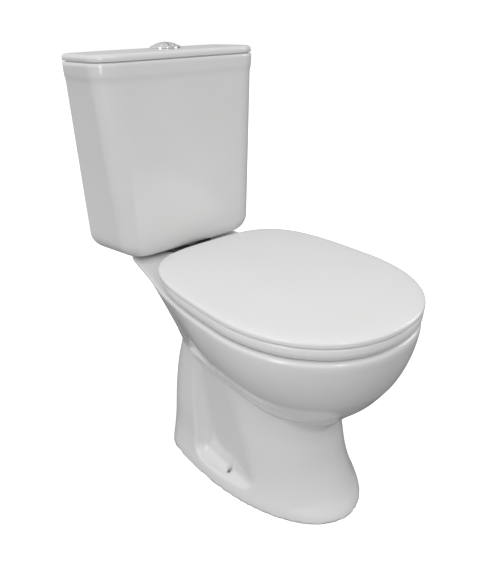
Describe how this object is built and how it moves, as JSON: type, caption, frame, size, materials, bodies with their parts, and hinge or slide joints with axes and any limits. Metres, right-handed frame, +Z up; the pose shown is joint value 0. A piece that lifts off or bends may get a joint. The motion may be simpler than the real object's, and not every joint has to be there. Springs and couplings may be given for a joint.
{
  "type": "close coupled toilet",
  "caption": "Close coupled toilet: egg shaped pan on a waisted pedestal, cistern with lift-off lid and push button on its deck, hinged seat and cover.",
  "frame": {"origin": "on the floor, in the middle of the object's plan box", "axes": "+Z up, -Y the front of the bowl, +Y the wall, +X to the right of a person facing the toilet"},
  "size_m": [0.3569, 0.6603, 0.791],
  "materials": {
    "china": "glossy glaze",
    "seat_plastic": "polished thermoset",
    "hinge_plastic": "satin moulded",
    "chrome": "polished",
    "rubber": "matt",
    "red_rubber": "matt silicone",
    "clear_rubber": "translucent grey",
    "nylon": "moulded",
    "valve_plastic": "moulded",
    "float_plastic": "moulded",
    "steel": "zinc plated"
  },
  "bodies": {
    "root": {"pan_foot": "china", "pan_waist": "china", "pan_bowl": "china", "pan_rim": "china", "cistern_tank": "china", "coupling_gasket": "rubber", "cistern_bolts": "steel", "cistern_bolt_seals": "rubber", "cistern_bolt_washers": "nylon", "cistern_wing_nuts": "nylon", "flush_valve_body": "valve_plastic", "flush_valve_washer": "rubber", "flush_valve_backnut": "nylon", "fill_valve_body": "valve_plastic", "fill_valve_washer": "rubber", "fill_valve_backnut": "nylon", "fill_valve_pin": "steel", "hinge_posts": "hinge_plastic", "hinge_pins": "steel", "hinge_bolts": "steel", "hinge_washers": "rubber", "hinge_wing_nuts": "nylon"},
    "seat_ring": {"seat_ring": "seat_plastic", "seat_ring_buffers": "clear_rubber"},
    "seat_cover": {"seat_cover": "seat_plastic", "seat_cover_buffers": "clear_rubber"},
    "cistern_lid": {"cistern_lid": "china", "button_bezel": "chrome", "button_nut": "nylon", "button_spring_large": "steel", "button_spring_small": "steel"},
    "flush_button_large": {"flush_button_large": "chrome", "push_rod_large": "nylon"},
    "flush_button_small": {"flush_button_small": "chrome", "push_rod_small": "nylon"},
    "flush_piston": {"flush_valve_piston": "valve_plastic", "flush_valve_seal": "red_rubber"},
    "fill_float": {"fill_valve_float": "float_plastic"},
    "fill_lever": {"fill_valve_lever": "nylon"}
  },
  "joints": [
    {"name": "seat_hinge", "type": "hinge", "parent": "root", "child": "seat_ring", "pos_m": [0, 0.126, 0.41], "axis": [-1, 0, 0], "range_deg": [0, 93]},
    {"name": "cover_hinge", "type": "hinge", "parent": "seat_ring", "child": "seat_cover", "pos_m": [0, 0.126, 0.41], "axis": [1, 0, 0], "range_deg": [-93, 0]},
    {"name": "lid_lift", "type": "slide", "parent": "root", "child": "cistern_lid", "axis": [0, 0, 1], "range_m": [0, 0.15]},
    {"name": "button_large_press", "type": "slide", "parent": "cistern_lid", "child": "flush_button_large", "axis": [0, 0, -1], "range_m": [0, 0.006], "stiffness_N_per_m": 900, "springref_m": -0.005, "deforming": ["button_spring_large"]},
    {"name": "button_small_press", "type": "slide", "parent": "cistern_lid", "child": "flush_button_small", "axis": [0, 0, -1], "range_m": [0, 0.006], "stiffness_N_per_m": 600, "springref_m": -0.004, "deforming": ["button_spring_small"]},
    {"name": "flush_piston_lift", "type": "slide", "parent": "root", "child": "flush_piston", "axis": [0, 0, 1], "range_m": [0, 0.018]},
    {"name": "float_rise", "type": "slide", "parent": "root", "child": "fill_float", "axis": [0, 0, 1], "range_m": [0, 0.016]},
    {"name": "lever_turn", "type": "hinge", "parent": "root", "child": "fill_lever", "pos_m": [0.104, 0.285, 0.688], "axis": [0, 1, 0], "range_deg": [0, 20]}
  ],
  "couplings": [
    {"joint": "flush_piston_lift", "follows": "button_large_press", "ratio": 3},
    {"joint": "lever_turn", "follows": "float_rise", "rad_per_m": 21.74}
  ]
}
